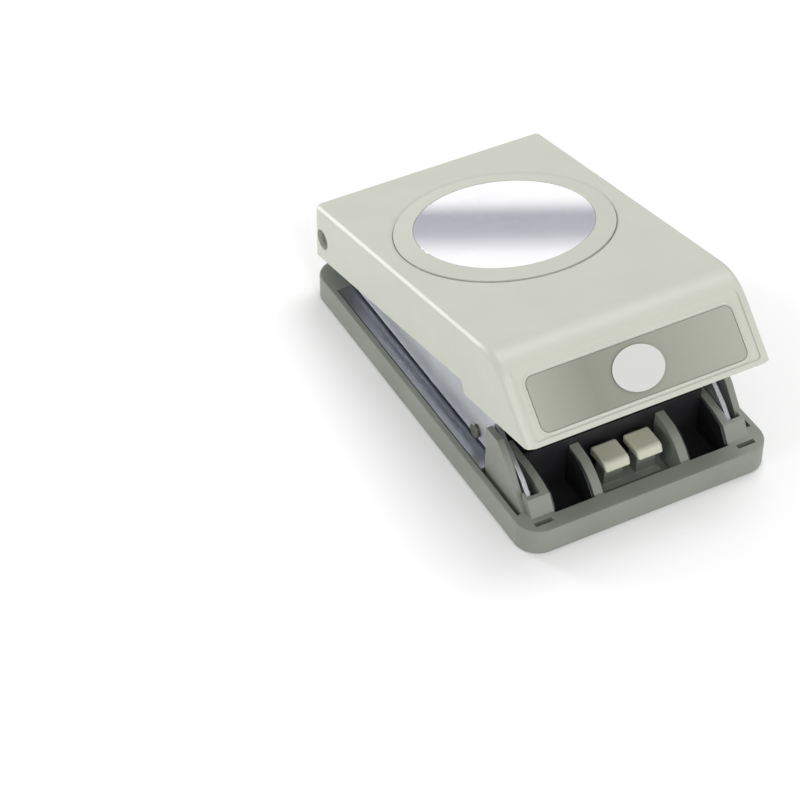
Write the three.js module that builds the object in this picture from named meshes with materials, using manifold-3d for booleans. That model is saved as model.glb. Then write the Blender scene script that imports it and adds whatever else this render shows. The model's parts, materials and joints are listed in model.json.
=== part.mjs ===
// Lever-action circle punch for paper craft, with its cover open.
// Millimetres, +Z up, front at -Y. The origin is on the ground, under the middle of the base.

import * as THREE from 'three';
import Module from 'manifold-3d';
import { mergeVertices } from 'three/addons/utils/BufferGeometryUtils.js';

const wasm = await Module();
wasm.setup();

// ---------- driving dimensions ----------

const BASE = { width: 94, depth: 154, height: 10, cornerRadius: 8.5, floor: 2, edge: 0.8 };
const FRONT_RIM = 6.5;
const BAY_HALF = 14.8;
const RIB_HALF = 18.1;
const BLOCK = { inner: 33.2, outer: 43.1 };
const CHANNEL = { inner: 36, outer: 40.7, front: 12, floor: 4 };
const GUTTER = { front: 11, floor: 6 };
const BED_HALF = 44.8;
const BED_FRONT = 25;
const PAPER_STOP = 35;
const DIE_BED_END = 138;
const RIM_SLOT = { inner: 35.3, outer: 42, front: 3.6, rear: 5.5, floor: 7.5 };
const LOCK_SLOT = { half: 6, front: 9.6, rear: 18.8 };
const LINER = { front: 24.1, back: 24.9, floor: 2.9, top: 21, cheek: 0.7, gap: 0.15 };

const PUNCH_RADIUS = 31.7;
const HOLE_RADIUS = 31.85;
const PUNCH_SEGMENTS = 48;
const DIE = { bottom: 7, top: 10 };
const SPACER_TOP = 11.5;
const GUIDE = { top: 13.5, left: -38.6, right: 35.9, flange: 1.9, flangeTop: 19 };
const NECK_HALF = 31.4;
const FRAME = { front: 36.2, rear: 142 };
const HOUSING = {
  half: 33.7, front: 36.6, shelfEnd: 58, rear: 134, shelfTop: 15.4, top: 17, wallEnd: 39, wallTop: 22,
  bore: 32.8, springPocket: 3.9,
};
const SCREW_HOLE = 1.6;
const THROUGH = 60;


// Both arms are pressed to the same hand, so each one stands at the left of its channel.
const ARM_SPAN = { left: [-40.4, -38.9], right: [36.2, 37.7] };
const PIVOT = { y: 70.4, z: 26.4 };
const SHAFT_RADIUS = 2.5;
const EYE_HOLE = 2.6;
const EYE_RADIUS = 4.2;

const OPEN_TILT = 12;
const COVER = {
  width: 91, wall: 2.4, sideWall: 2, top: 12.73, topRound: 1.6, cornerRound: 0.9,
  frontY: -143, bottom: -13.1, step: -101,
};
const RING = { y: -51.4, radius: 38, rise: 0.9, depth: 1.4, gap: 0.3, dish: 1.1, dishDepth: 0.45 };
const DISC = { radius: 31, thickness: 0.3, sunk: 0.15 };
const FACE_RECESS = { half: 42.2, low: 1.9, high: 26, depth: 0.45 };
const FACE_ANGLE = 55.3;
const LABEL = { width: 77, height: 19, up: 12.9, depth: 1.05 };

const RAM = { wall: 2.2, bottom: 13, web: 26.2, plate: 29.2, plateTop: 31.7, padTop: 35.6, half: 33 };
const SPRING = { reach: 28.5, coil: 2.7, wire: 0.45, turns: 4.5 };

const CHIP_OPENING = 34;
const TRAVEL_GAP = 0.3;
const DIE_Y = PIVOT.y + RING.y;

// ---------- materials ----------

const finish = (color, roughness, metalness = 0) =>
  new THREE.MeshStandardMaterial({ color, roughness, metalness });

const coverPlastic = finish(0xd3d5c9, 0.45);
const basePlastic = finish(0x848a80, 0.55);
const blackPlastic = finish(0x151518, 0.5);
const labelPlastic = finish(0xa3a698, 0.4);
const dotPlastic = finish(0xe2e3df, 0.4);
const hookPlastic = finish(0xcfcfb8, 0.45);
const mirrorFoil = finish(0xf0f0f2, 0.06, 1);
const steel = finish(0xb9bcc0, 0.3, 1);
const darkSteel = finish(0x55574f, 0.4, 1);
const nylon = finish(0xe8e6dc, 0.5);

// ---------- solid helpers ----------

function toSolid(geometry) {
  const bare = geometry.index ? geometry.toNonIndexed() : geometry.clone();
  bare.deleteAttribute('normal');
  bare.deleteAttribute('uv');
  const merged = mergeVertices(bare, 1e-4);
  return new wasm.Manifold(new wasm.Mesh({
    numProp: 3,
    vertProperties: new Float32Array(merged.attributes.position.array),
    triVerts: new Uint32Array(merged.index.array),
  }));
}

function toGeometry(solid) {
  const mesh = solid.getMesh();
  const geometry = new THREE.BufferGeometry();
  geometry.setAttribute('position', new THREE.BufferAttribute(mesh.vertProperties, 3));
  geometry.setIndex(new THREE.BufferAttribute(mesh.triVerts, 1));
  geometry.computeVertexNormals();
  return geometry;
}

function cut(body, ...tools) {
  return tools.flat().reduce((solid, tool) => solid.subtract(tool), body);
}

function join(body, ...others) {
  return others.flat().reduce((solid, other) => solid.add(other), body);
}

// A box between two corners.
function box(x0, x1, y0, y1, z0, z1) {
  const geometry = new THREE.BoxGeometry(x1 - x0, y1 - y0, z1 - z0);
  geometry.translate((x0 + x1) / 2, (y0 + y1) / 2, (z0 + z1) / 2);
  return toSolid(geometry);
}

// A box and its mirror image on the other side of the middle plane.
const boxPair = (x0, x1, ...rest) => [box(x0, x1, ...rest), box(-x1, -x0, ...rest)];

// An upright round rod.
function rod(x, y, z0, z1, radius, segments = 20) {
  const geometry = new THREE.CylinderGeometry(radius, radius, z1 - z0, segments);
  geometry.rotateX(Math.PI / 2);
  geometry.translate(x, y, (z0 + z1) / 2);
  return toSolid(geometry);
}

// A round rod along X.
function crossRod(x0, x1, y, z, radius, segments = 24) {
  const geometry = new THREE.CylinderGeometry(radius, radius, x1 - x0, segments);
  geometry.rotateZ(Math.PI / 2);
  geometry.translate((x0 + x1) / 2, y, z);
  return toSolid(geometry);
}

// A side profile of [y, z] points, extruded along X.
function sideExtrusion(profile, x0, x1) {
  const shape = profile instanceof THREE.Shape ? profile
    : new THREE.Shape(profile.map(([y, z]) => new THREE.Vector2(y, z)));
  const geometry = new THREE.ExtrudeGeometry(shape, {
    depth: x1 - x0, bevelEnabled: false, curveSegments: 8 });
  const cycle = new THREE.Matrix4().makeBasis(
    new THREE.Vector3(0, 1, 0), new THREE.Vector3(0, 0, 1), new THREE.Vector3(1, 0, 0));
  geometry.applyMatrix4(cycle);
  geometry.translate(x0, 0, 0);
  return toSolid(geometry);
}

const sidePair = (profile, x0, x1) =>
  [sideExtrusion(profile, x0, x1), sideExtrusion(profile, -x1, -x0)];

// A plan outline, extruded upwards.
function slab(shape, z0, z1, edge = 0) {
  const geometry = new THREE.ExtrudeGeometry(shape, {
    depth: z1 - z0 - 2 * edge,
    bevelEnabled: edge > 0,
    bevelThickness: edge,
    bevelSize: edge,
    bevelOffset: -edge,
    bevelSegments: 2,
    curveSegments: 5,
  });
  geometry.translate(0, 0, z0 + edge);
  return toSolid(geometry);
}

function roundedRect(x0, x1, y0, y1, radius) {
  const shape = new THREE.Shape();
  shape.moveTo(x0 + radius, y0);
  shape.lineTo(x1 - radius, y0);
  shape.absarc(x1 - radius, y0 + radius, radius, -Math.PI / 2, 0);
  shape.lineTo(x1, y1 - radius);
  shape.absarc(x1 - radius, y1 - radius, radius, 0, Math.PI / 2);
  shape.lineTo(x0 + radius, y1);
  shape.absarc(x0 + radius, y1 - radius, radius, Math.PI / 2, Math.PI);
  shape.lineTo(x0, y0 + radius);
  shape.absarc(x0 + radius, y0 + radius, radius, Math.PI, 1.5 * Math.PI);
  return shape;
}

// A y measured back from the front edge of the base.
const back = (distance) => distance - BASE.depth / 2;

// Side profiles written as [distance from the front edge, height].
const fromFront = (points) => points.map(([distance, z]) => [back(distance), z]);

function part(name, solidOrGeometry, material) {
  const geometry = solidOrGeometry.isBufferGeometry ? solidOrGeometry : toGeometry(solidOrGeometry);
  const mesh = new THREE.Mesh(geometry, material);
  mesh.name = name;
  return mesh;
}

// A cap screw standing on +Z: the head sits on z = 0 and the shank hangs below it.
function screwGeometry(headRadius, headHeight, shankRadius, length) {
  const socket = headRadius * 0.5;
  const points = [
    [0, -length], [shankRadius * 0.8, -length], [shankRadius, -length + shankRadius * 0.4],
    [shankRadius, 0], [headRadius, 0], [headRadius, headHeight * 0.7],
    [headRadius * 0.85, headHeight], [socket, headHeight], [socket, headHeight * 0.4],
    [0, headHeight * 0.4],
  ];
  const geometry = new THREE.LatheGeometry(points.map(([r, h]) => new THREE.Vector2(r, h)), 10);
  geometry.rotateX(Math.PI / 2);
  return geometry;
}

function screw(name, x, y, z, size) {
  const mesh = part(name, screwGeometry(...size), steel);
  mesh.position.set(x, y, z);
  return mesh;
}

const SCREW_M3 = [2.6, 2, 1.4, 10];
const SCREW_DIE = [2.6, 0.9, 1.4, 5];
const SCREW_RAM = [2.6, 2, 1.4, 4.8];
const SCREW_SMALL = [1.4, 1, 0.75, 3.6];

// ---------- base ----------

const SCREW_ROW = 29;
const FRAME_SCREW_X = [-26, -10, 10, 26];
const DIE_SCREW = { x: 26, distance: 133, headHole: 2.8, headDepth: 1.2 };
const RETAINER_SCREW = { x: 13, distance: 21, hole: 0.9 };
const BOSS_TOP = 4.6;

const frameScrewHoles = (z0, z1) =>
  FRAME_SCREW_X.map((x) => rod(x, back(SCREW_ROW), z0, z1, SCREW_HOLE, 16));

// The three steps of a channel block: its nose, its low inner wall and its tall outer wall.
const BLOCK_NOSE = [[7.2, BASE.floor], [7.2, 10], [10.6, 15.2], [14, 15.8], [14, BASE.floor]];
const BLOCK_INNER_WALL = [
  [7.2, BASE.floor], [7.2, 10], [10.6, 15.2], [15.7, 16.9], [22.2, 17.9], [PAPER_STOP, 18.2],
  [PAPER_STOP, BASE.floor],
];
const BLOCK_OUTER_WALL = [
  [9.4, BASE.floor], [9.4, 8], [11.3, 9.6], [16.3, 16], [21.2, 22.2], [28, 28], [PAPER_STOP, 28],
  [PAPER_STOP, BASE.floor],
];

// The ribs beside the lock bay, which rise in a curve from the front rim.
const RIB = [
  [6.5, 9.5], [7.6, 10.4], [9.6, 12.8], [12.6, 15.2], [16.4, 17.2], [LINER.front - 0.2, 18.4],
];

function baseTray() {
  const { width, depth, height, cornerRadius, floor, edge } = BASE;
  const half = width / 2;
  const outline = roundedRect(-half, half, -depth / 2, depth / 2, cornerRadius);
  const body = slab(outline, 0, height, edge);

  const bay = box(-BAY_HALF, BAY_HALF, back(FRONT_RIM), back(BED_FRONT), floor, height + 1);
  const pockets = boxPair(RIB_HALF, BLOCK.inner, back(FRONT_RIM), back(BED_FRONT), floor, height + 1);
  const dieBed = box(-BED_HALF, BED_HALF, back(BED_FRONT), back(DIE_BED_END), DIE.bottom, height + 1);
  const gutters = boxPair(
    BLOCK.outer, BED_HALF, back(GUTTER.front), back(BED_FRONT + 0.1), GUTTER.floor, height + 1);
  const chipOpening = rod(0, DIE_Y, -1, height, CHIP_OPENING, 48);
  const shallow = cut(body, bay, pockets, dieBed, gutters, chipOpening);

  const ribProfile = [[RIB[0][0], floor], ...RIB, [LINER.front - 0.2, floor]];
  const ribs = sidePair(fromFront(ribProfile), BAY_HALF, RIB_HALF);
  const noses = sidePair(fromFront(BLOCK_NOSE), BLOCK.inner, CHANNEL.outer + 0.8);
  const innerWalls = sidePair(fromFront(BLOCK_INNER_WALL), BLOCK.inner, CHANNEL.inner);
  const outerWalls = sidePair(fromFront(BLOCK_OUTER_WALL), CHANNEL.outer, BLOCK.outer);
  const raised = join(shallow, ribs, noses, innerWalls, outerWalls);

  const channels = boxPair(
    CHANNEL.inner, CHANNEL.outer, back(CHANNEL.front), back(DIE_BED_END), CHANNEL.floor, THROUGH);
  const behindBay = back(LINER.front - 0.2);
  const bedClearance = box(
    -BLOCK.inner, BLOCK.inner, behindBay, back(PAPER_STOP + 1), DIE.bottom, THROUGH);
  const linerSlot = box(-BLOCK.inner, BLOCK.inner, behindBay, back(BED_FRONT + 0.2), floor, THROUGH);
  const { inner: slotInner, outer: slotOuter, front: slotFront, rear: slotRear, floor: slotFloor } = RIM_SLOT;
  const rimSlots = boxPair(slotInner, slotOuter, back(slotFront), back(slotRear), slotFloor, height + 1);
  const lockSlot = box(
    -LOCK_SLOT.half, LOCK_SLOT.half, back(LOCK_SLOT.front), back(LOCK_SLOT.rear), -1, floor + 1);
  const holeBottom = 3;
  const frameHoles = frameScrewHoles(holeBottom, DIE.bottom + 1);
  const dieHoles = [-1, 1].map((side) =>
    rod(side * DIE_SCREW.x, back(DIE_SCREW.distance), holeBottom, DIE.bottom + 1, SCREW_HOLE, 16));
  const hollow = cut(raised, channels, bedClearance, linerSlot, rimSlots, lockSlot, frameHoles, dieHoles);

  const sill = sideExtrusion(
    fromFront([[6.4, floor], [6.4, height], [9, 6], [9, floor]]), -BAY_HALF, BAY_HALF);
  const bosses = boxPair(11.6, BAY_HALF, back(LOCK_SLOT.rear + 0.1), behindBay, floor, BOSS_TOP);
  const bossHoles = [-1, 1].map((side) =>
    rod(side * RETAINER_SCREW.x, back(RETAINER_SCREW.distance), 2.4, 5, RETAINER_SCREW.hole, 12));
  return part('base_tray', cut(join(hollow, sill, bosses), bossHoles), basePlastic);
}

function diePlate() {
  const { bottom, top } = DIE;
  const half = BED_HALF - 0.3;
  const plate = box(-half, half, back(BED_FRONT + 0.3), back(DIE_BED_END - 0.3), bottom, top - 0.05);
  const hole = rod(0, DIE_Y, bottom - 1, top + 1, HOLE_RADIUS, PUNCH_SEGMENTS);
  const footNotches = boxPair(
    NECK_HALF + 0.3, THROUGH, back(BED_FRONT - 1), back(PAPER_STOP + 0.3), bottom - 1, top + 1);
  const frameHoles = frameScrewHoles(bottom - 1, top + 1);
  const dieHoles = [-1, 1].flatMap((side) => {
    const place = [side * DIE_SCREW.x, back(DIE_SCREW.distance)];
    return [
      rod(...place, bottom - 1, top + 1, SCREW_HOLE, 16),
      rod(...place, top - DIE_SCREW.headDepth, top + 1, DIE_SCREW.headHole, 16),
    ];
  });
  return part('die_plate', cut(plate, hole, footNotches, frameHoles, dieHoles), steel);
}

function throatSpacer() {
  const spacer = box(-NECK_HALF, NECK_HALF, back(26), back(33), DIE.top, SPACER_TOP - 0.05);
  const holes = frameScrewHoles(DIE.top - 1, SPACER_TOP + 1);
  return part('throat_spacer', cut(spacer, holes), steel);
}

const RIVET_DISTANCES = [46, 138];
const RIVET_Z = 16.6;
const RIVET = { shank: 1.5, hole: 1.6, head: 2.6 };

const rivetHoleTools = () => RIVET_DISTANCES.map((distance) =>
  crossRod(-THROUGH, THROUGH, back(distance), RIVET_Z, RIVET.hole, 16));

function guidePlate() {
  const { top, left, right, flange, flangeTop } = GUIDE;
  const plate = join(
    box(-NECK_HALF, NECK_HALF, back(BED_FRONT + 0.3), back(FRAME.front + 1), SPACER_TOP, top),
    box(left, right, back(FRAME.front), back(FRAME.rear), SPACER_TOP, top));
  const flanges = [
    box(left, left + flange, back(FRAME.front), back(FRAME.rear), top - 1, flangeTop),
    box(right - flange, right, back(FRAME.front), back(FRAME.rear), top - 1, flangeTop),
  ];
  const hole = rod(0, DIE_Y, SPACER_TOP - 1, top + 1, HOLE_RADIUS, PUNCH_SEGMENTS);
  const screwHoles = frameScrewHoles(SPACER_TOP - 1, top + 1);
  const rivetHoles = rivetHoleTools();
  return part('guide_plate', cut(join(plate, flanges), hole, screwHoles, rivetHoles), steel);
}

const springPlaces = [-1, 1].flatMap((sideX) => [-1, 1].map((sideY) =>
  [sideX * SPRING.reach, DIE_Y + sideY * SPRING.reach]));

function punchHousing() {
  const bottom = GUIDE.top + 0.05;
  const { half, front, shelfEnd, rear, shelfTop, top, wallEnd, wallTop, bore, springPocket } = HOUSING;
  const frame = box(-half, half, back(shelfEnd - 1), back(rear), bottom, top);
  const apron = join(
    box(-NECK_HALF, NECK_HALF, back(SCREW_ROW + 2.9), back(front + 1), bottom, shelfTop),
    box(-half, half, back(front), back(shelfEnd), bottom, shelfTop));
  const wall = box(-half, half, back(front), back(wallEnd), bottom, wallTop);
  const opening = rod(0, DIE_Y, bottom - 1, wallTop + 1, bore, 48);
  const pockets = springPlaces.map(([x, y]) => rod(x, y, bottom - 1, wallTop + 1, springPocket, 20));
  return part('punch_housing', cut(join(frame, apron, wall), opening, pockets), blackPlastic);
}

// One side arm: its foot stands in the base and its far end carries the pivot eye.
function armOutline() {
  const shape = new THREE.Shape();
  const pivotY = PIVOT.y;
  fromFront([
    [12.4, 4.4], [PAPER_STOP, 4.4], [PAPER_STOP, 14], [144, 14],
  ]).forEach(([y, z], index) => (index ? shape.lineTo(y, z) : shape.moveTo(y, z)));
  shape.lineTo(pivotY + EYE_RADIUS * 0.9, PIVOT.z - EYE_RADIUS * 0.45);
  shape.absarc(pivotY, PIVOT.z, EYE_RADIUS, -0.45, Math.PI / 2);
  fromFront([[34, 30.6], [28, 26.2], [23.3, 23.2], [16.6, 18.6], [12.4, 14.2]])
    .forEach(([y, z]) => shape.lineTo(y, z));
  return shape;
}

const armSpan = (side) => (side < 0 ? ARM_SPAN.left : ARM_SPAN.right);

const ARM_PIN = { distance: 17.5, z: 11, radius: 1.5 };

function sideArm(name, side) {
  const plate = sideExtrusion(armOutline(), ...armSpan(side));
  const eye = crossRod(-THROUGH, THROUGH, PIVOT.y, PIVOT.z, EYE_HOLE);
  const pinHole = crossRod(
    -THROUGH, THROUGH, back(ARM_PIN.distance), ARM_PIN.z, ARM_PIN.radius + 0.1, 16);
  return part(name, cut(plate, eye, pinHole, rivetHoleTools()), steel);
}

function armPin(name, side) {
  const [inner, outer] = [CHANNEL.inner + 0.1, CHANNEL.outer - 0.1];
  const ends = side < 0 ? [-outer, -inner] : [inner, outer];
  return part(name, crossRod(...ends, back(ARM_PIN.distance), ARM_PIN.z, ARM_PIN.radius, 16), darkSteel);
}

function frameRivet(name, side, distance) {
  const y = back(distance);
  const flangeFace = side < 0 ? GUIDE.left + GUIDE.flange : GUIDE.right - GUIDE.flange;
  const armFace = side < 0 ? ARM_SPAN.left[0] : ARM_SPAN.right[1];
  const rodBetween = (a, b, radius) => crossRod(Math.min(a, b), Math.max(a, b), y, RIVET_Z, radius, 16);
  const shank = rodBetween(flangeFace, armFace + 0.3 * side, RIVET.shank);
  const head = rodBetween(armFace + 0.05 * side, armFace + 0.9 * side, RIVET.head);
  return part(name, join(shank, head), darkSteel);
}

// A compression spring whose closed helix stands between two heights.
class Helix extends THREE.Curve {
  constructor(radius, height, turns) {
    super();
    Object.assign(this, { radius, height, turns });
  }

  getPoint(t, target = new THREE.Vector3()) {
    const angle = 2 * Math.PI * this.turns * t;
    return target.set(this.radius * Math.cos(angle), this.radius * Math.sin(angle), this.height * t);
  }
}

function returnSpring(name, x, y) {
  const { coil, wire, turns } = SPRING;
  const bottom = GUIDE.top + wire + TRAVEL_GAP;
  const height = RAM.plate - wire - TRAVEL_GAP - bottom;
  const section = new THREE.Shape();
  section.absarc(0, 0, wire, 0, 2 * Math.PI);
  const geometry = new THREE.ExtrudeGeometry(section, {
    steps: Math.round(10 * turns),
    extrudePath: new Helix(coil, height, turns),
    curveSegments: 3,
  });
  const mesh = part(name, toSolid(geometry), steel);
  mesh.position.set(x, y, bottom);
  return mesh;
}

// The black insert: a tray in each front pocket, and the wall that closes the mechanism off from
// the lock bay.
function frontLiner() {
  const { front, back: rear, floor, top, cheek, gap } = LINER;
  const lowest = BASE.floor + 0.1;
  const [inner, outer] = [RIB_HALF + gap, BLOCK.inner - gap];
  const wall = box(-outer, outer, back(front), back(rear), lowest, top);
  const floors = boxPair(inner, outer, back(FRONT_RIM + 0.3), back(rear), lowest, floor);
  const lowered = (profile) => profile.map(([distance, z]) => [distance + 0.5, z - 0.4]);
  const cheekProfile = (profile) => fromFront([
    [7.1, lowest], [7.1, 9], ...lowered(profile), [rear, 17.5], [rear, lowest]]);
  const ribCheeks = sidePair(cheekProfile(RIB.slice(1, -1)), inner, inner + cheek);
  const blockCheeks = sidePair(cheekProfile(BLOCK_INNER_WALL.slice(2, -2)), outer - cheek, outer);
  return part('front_liner', join(wall, floors, ribCheeks, blockCheeks), blackPlastic);
}

// ---------- storage lock ----------

const HOOK_BOTTOM = 12.4;

function lockRetainer() {
  const plate = box(-14.2, 14.2, back(LOCK_SLOT.rear + 0.15), back(LINER.front - 0.2), BOSS_TOP + 0.05, 6.2);
  const tongueGap = box(-11.2, 11.2, back(17), back(20.6), 4, 7);
  const holes = [-1, 1].map((side) =>
    rod(side * RETAINER_SCREW.x, back(RETAINER_SCREW.distance), 4, 7, RETAINER_SCREW.hole, 12));
  return part('lock_retainer', cut(plate, tongueGap, holes), steel);
}

function lockSlider() {
  const plate = box(-11.2, 11.2, back(12), back(23.4), 2.3, 4.4);
  const tab = box(-5.6, 5.6, back(12.4), back(18.4), 0.6, 3);
  const grooves = [13.6, 15.2, 16.8].map((distance) =>
    box(-6, 6, back(distance - 0.35), back(distance + 0.35), 0.2, 1.1));
  const posts = boxPair(2.6, 9.9, back(14.6), back(20), 4, HOOK_BOTTOM - 0.05);
  return part('lock_slider', cut(join(plate, tab, posts), grooves), basePlastic);
}

function lockHook(name, side) {
  const profile = new THREE.Shape();
  profile.moveTo(back(11.7), HOOK_BOTTOM);
  profile.lineTo(back(22.4), HOOK_BOTTOM);
  profile.lineTo(back(22.4), 14.8);
  profile.quadraticCurveTo(back(22.3), 15.8, back(21.2), 15.9);
  profile.lineTo(back(14.6), 15.6);
  profile.quadraticCurveTo(back(13.5), 15.5, back(12.9), 14.7);
  const [x0, x1] = side < 0 ? [-11, -1.5] : [1.5, 11];
  return part(name, sideExtrusion(profile, x0, x1), hookPlastic);
}

// ---------- ram ----------

const RAM_SCREW_REACH = 14;
const ramScrewPlaces = [-1, 1].flatMap((sideX) => [-1, 1].map((sideY) =>
  [sideX * RAM_SCREW_REACH, DIE_Y + sideY * RAM_SCREW_REACH]));

function punchCutter() {
  const body = rod(0, DIE_Y, RAM.bottom, RAM.plate - 0.05, PUNCH_RADIUS, PUNCH_SEGMENTS);
  const cup = rod(0, DIE_Y, RAM.bottom - 1, RAM.web, PUNCH_RADIUS - RAM.wall, PUNCH_SEGMENTS);
  const holes = ramScrewPlaces.map(([x, y]) => rod(x, y, RAM.web - 1, RAM.plate + 1, SCREW_HOLE, 16));
  return part('punch_cutter', cut(body, cup, holes), steel);
}

function ramPlate() {
  const { half, plate, plateTop } = RAM;
  const outline = roundedRect(-half, half, DIE_Y - half, DIE_Y + half, 4);
  const holes = ramScrewPlaces.map(([x, y]) => rod(x, y, plate - 1, plateTop + 1, SCREW_HOLE, 16));
  return part('ram_plate', cut(slab(outline, plate, plateTop), holes), darkSteel);
}

function ramPad() {
  const outline = roundedRect(-24, 24, DIE_Y - 9.5, DIE_Y + 9.5, 3);
  return part('ram_pad', slab(outline, RAM.plateTop + 0.05, RAM.padTop, 0.6), nylon);
}

// ---------- cover, in its own frame: origin on the pivot axis, y to the rear ----------

const faceRadians = THREE.MathUtils.degToRad(FACE_ANGLE);
const faceDirection = new THREE.Vector2(Math.cos(faceRadians), Math.sin(faceRadians));

// The closed side profile of the cover, drawn inset by a wall thickness.
function coverProfile(inset) {
  const top = COVER.top - inset;
  const run = inset / faceDirection.y;
  const frontFoot = new THREE.Vector2(COVER.frontY + run, -18);
  const drop = frontFoot.y - COVER.bottom;
  const foot = frontFoot.clone();
  foot.x += drop * faceDirection.x / faceDirection.y;
  const crown = 10 - inset;
  const topJoint = foot.x + (top - foot.y) * faceDirection.x / faceDirection.y;
  const shape = new THREE.Shape();
  shape.moveTo(foot.x, foot.y);
  shape.lineTo(topJoint - crown * faceDirection.x, top - crown * faceDirection.y);
  shape.quadraticCurveTo(topJoint, top, topJoint + crown, top);
  const rearInset = Math.min(inset, 1.8);
  shape.lineTo(3 - rearInset, top);
  shape.quadraticCurveTo(4.1 - rearInset, top - 0.4, 4.3 - rearInset, top - 2);
  shape.lineTo(8.5 - rearInset, -8.64);
  shape.lineTo(9.5 - rearInset, -18);
  return shape;
}

// Everything below the cover's bottom edge, as one cutting block.
function underCut() {
  return sideExtrusion([
    [-170, COVER.bottom], [COVER.step - 0.6, -12.6], [COVER.step + 0.6, -7.85], [12, -8.7], [12, -40],
    [-170, -40],
  ], -THROUGH, THROUGH);
}

function facePlace(up, proud) {
  const y = COVER.frontY + up * faceDirection.x - proud * faceDirection.y;
  const z = COVER.bottom + up * faceDirection.y + proud * faceDirection.x;
  return [0, y, z];
}

// Turns a slab lying in XY so that it lies on the sloping front face.
function onFace(solidShape, thickness, up, proud) {
  const geometry = new THREE.ExtrudeGeometry(solidShape, {
    depth: thickness, bevelEnabled: false, curveSegments: 12 });
  geometry.rotateX(faceRadians);
  geometry.translate(...facePlace(up, proud));
  return toSolid(geometry);
}

// The side profile at full width, with its long top edges and its front corners rounded.
function coverBlock(inset, sideInset, topRound, cornerRound) {
  const half = COVER.width / 2 - sideInset;
  const side = sideExtrusion(coverProfile(inset), -half, half);
  const plan = roundedRect(-half, half, COVER.frontY + inset, 40, cornerRound);
  const front = new THREE.ExtrudeGeometry(
    roundedRect(-half, half, -40, COVER.top - inset, topRound),
    { depth: 240, bevelEnabled: false, curveSegments: 5 });
  front.rotateX(Math.PI / 2);
  front.translate(0, 60, 0);
  return side.intersect(slab(plan, -60, 60)).intersect(toSolid(front));
}

// A round frustum about the middle of the mirror.
function ringCone(z0, z1, radius0, radius1) {
  const geometry = new THREE.CylinderGeometry(radius1, radius0, z1 - z0, 48);
  geometry.rotateX(Math.PI / 2);
  geometry.translate(0, RING.y, (z0 + z1) / 2);
  return toSolid(geometry);
}

// The round pocket for the ring, whose rim opens out in a shallow dish.
function ringPocketTool() {
  const radius = RING.radius + RING.gap;
  const rim = COVER.top - RING.dishDepth;
  const points = [
    [0, COVER.top - RING.depth], [radius, COVER.top - RING.depth], [radius, rim],
    [radius + 3 * RING.dish, rim + 3 * RING.dishDepth], [0, rim + 3 * RING.dishDepth],
  ];
  const geometry = new THREE.LatheGeometry(points.map(([r, h]) => new THREE.Vector2(r, h)), 48);
  geometry.rotateX(Math.PI / 2);
  geometry.translate(0, RING.y, 0);
  return toSolid(geometry);
}

const BOSS = { face: 41.4, radius: 4.4 };
const SHAFT_RECESS = { depth: 43.7, radius: 3.85 };
const SHAFT_HALF = 44.4;
const PRESSER = { half: 26, reach: 4, z: 3 };
const COVER_RIB = { bottom: 6.5, front: -96, rear: -10.5, inner: 19, outer: 20.8, half: 0.9 };

function coverShell() {
  const innerHalf = COVER.width / 2 - COVER.sideWall;
  const shell = cut(
    coverBlock(0, 0, COVER.topRound, COVER.cornerRound),
    coverBlock(COVER.wall, COVER.sideWall, 0.8, 0.8),
    underCut());

  const ribTop = COVER.top - COVER.wall + 0.5;
  const bite = innerHalf + 0.5;
  const presser = join(
    box(-PRESSER.half, PRESSER.half, RING.y - PRESSER.reach, RING.y + PRESSER.reach, PRESSER.z, ribTop),
    crossRod(-PRESSER.half, PRESSER.half, RING.y, PRESSER.z, PRESSER.reach));
  const { bottom, front, rear, inner, outer, half: ribHalf } = COVER_RIB;
  const crossRib = (y) => box(-bite, bite, y - ribHalf, y + ribHalf, bottom, ribTop);
  const ribs = [crossRib(front), crossRib(rear)];
  const longRibs = boxPair(inner, outer, front, rear, bottom, ribTop);
  const bosses = [
    crossRod(-bite, -BOSS.face, 0, 0, BOSS.radius),
    crossRod(BOSS.face, bite, 0, 0, BOSS.radius),
  ];
  const catchLedge = sideExtrusion([
    [-140.2, -11], [-140.2, -14.3], [-136.9, -14.3], [-136.6, -13.7], [-137.2, -12.8], [-138.6, -12.6],
    [-138.2, -11],
  ], -13, 13);
  const solid = join(shell, presser, ribs, longRibs, bosses, catchLedge);

  const shaftHole = crossRod(-THROUGH, THROUGH, 0, 0, EYE_HOLE);
  const recesses = [
    crossRod(-THROUGH, -SHAFT_RECESS.depth, 0, 0, SHAFT_RECESS.radius, 32),
    crossRod(SHAFT_RECESS.depth, THROUGH, 0, 0, SHAFT_RECESS.radius, 32),
  ];
  const ringPocket = ringPocketTool();
  const { half, low, high, depth } = FACE_RECESS;
  const faceRecess = onFace(roundedRect(-half, half, low, high, 1.5), 5, 0, -depth);
  const labelShape = roundedRect(
    -LABEL.width / 2, LABEL.width / 2, -LABEL.height / 2, LABEL.height / 2, 3);
  const labelPocket = onFace(labelShape, 5, LABEL.up, -LABEL.depth);
  return part('cover_shell',
    cut(solid, shaftHole, recesses, ringPocket, faceRecess, labelPocket), coverPlastic);
}

const RING_TOP = COVER.top + RING.rise;
const SEAT_DEPTH = DISC.sunk + DISC.thickness + 0.1;

function indicatorRing() {
  const shoulder = COVER.top - 0.05;
  const seatRadius = DISC.radius + RING.gap;
  const foot = rod(0, RING.y, COVER.top - RING.depth + TRAVEL_GAP, shoulder, RING.radius, 48);
  const slope = ringCone(shoulder - 0.01, RING_TOP, RING.radius, seatRadius + 0.4);
  const seat = rod(0, RING.y, RING_TOP - SEAT_DEPTH, RING_TOP + 1, seatRadius, 48);
  return part('indicator_ring', cut(join(foot, slope), seat), coverPlastic);
}

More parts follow.
